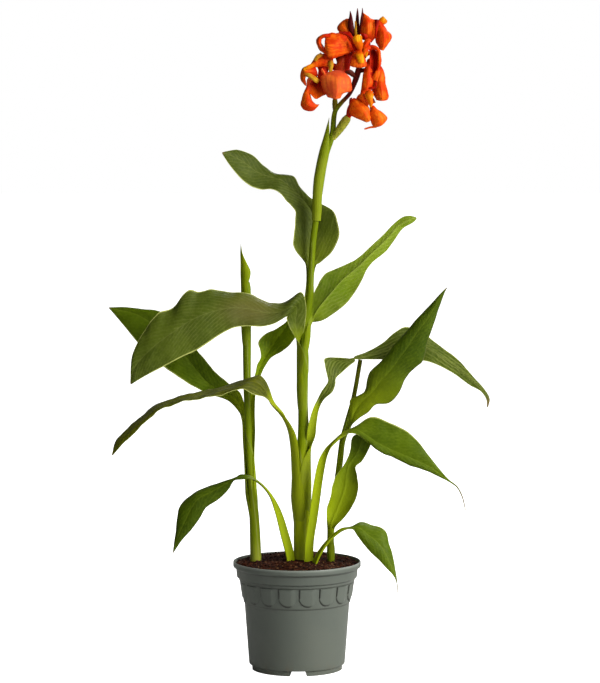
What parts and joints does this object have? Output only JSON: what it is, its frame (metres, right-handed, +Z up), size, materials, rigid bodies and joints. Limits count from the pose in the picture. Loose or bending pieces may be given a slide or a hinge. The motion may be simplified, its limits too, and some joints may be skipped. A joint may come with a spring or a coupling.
{
  "type": "potted canna lily",
  "caption": "Flowering canna lily with broad drooping leaves on upright shoots and an orange flower head, growing in a round tapered nursery pot.",
  "frame": {"origin": "where the pot's axis meets the surface that the pot stands on", "axes": "+Z up along the pot's axis; -Y towards the side that the flowers face; +X to the right of it"},
  "size_m": [0.5697, 0.19, 0.979],
  "materials": {
    "pot_plastic": "satin",
    "potting_soil": "matte",
    "rootstock": "matte",
    "green_stem": "satin",
    "green_leaf": "satin",
    "orange_petal": "satin",
    "yellow_petal": "satin",
    "dark_bud": "satin"
  },
  "bodies": {
    "root": {"pot": "pot_plastic", "soil": "potting_soil", "rootstock": "rootstock", "stem_centre": "green_stem", "stem_left": "green_stem", "stem_right": "green_stem", "leaf_big_left": "green_leaf", "leaf_mid_left": "green_leaf", "leaf_arching_right": "green_leaf", "leaf_upper_right": "green_leaf", "leaf_top_left": "green_leaf", "flower_sheath": "green_stem", "leaf_far_left": "green_leaf", "leaf_back_left": "green_leaf", "leaf_rolled": "green_leaf", "leaf_upright_right": "green_leaf", "leaf_short_right": "green_leaf", "leaf_low_left": "green_leaf", "leaf_low_right": "green_leaf", "leaf_base_right": "green_leaf", "bloom_upper_left": "orange_petal", "bloom_back": "orange_petal", "bloom_top_right": "orange_petal", "heart_top_right": "yellow_petal", "bloom_front": "orange_petal", "heart_front": "yellow_petal", "bloom_right": "orange_petal", "heart_right": "yellow_petal", "bloom_right_low": "orange_petal", "bloom_left": "orange_petal", "heart_left": "yellow_petal", "bloom_low_left": "orange_petal", "heart_low_left": "yellow_petal", "bloom_low_right": "orange_petal", "heart_low_right": "yellow_petal", "bud_left": "dark_bud", "bud_middle": "dark_bud", "bud_right": "dark_bud"}
  },
  "joints": []
}
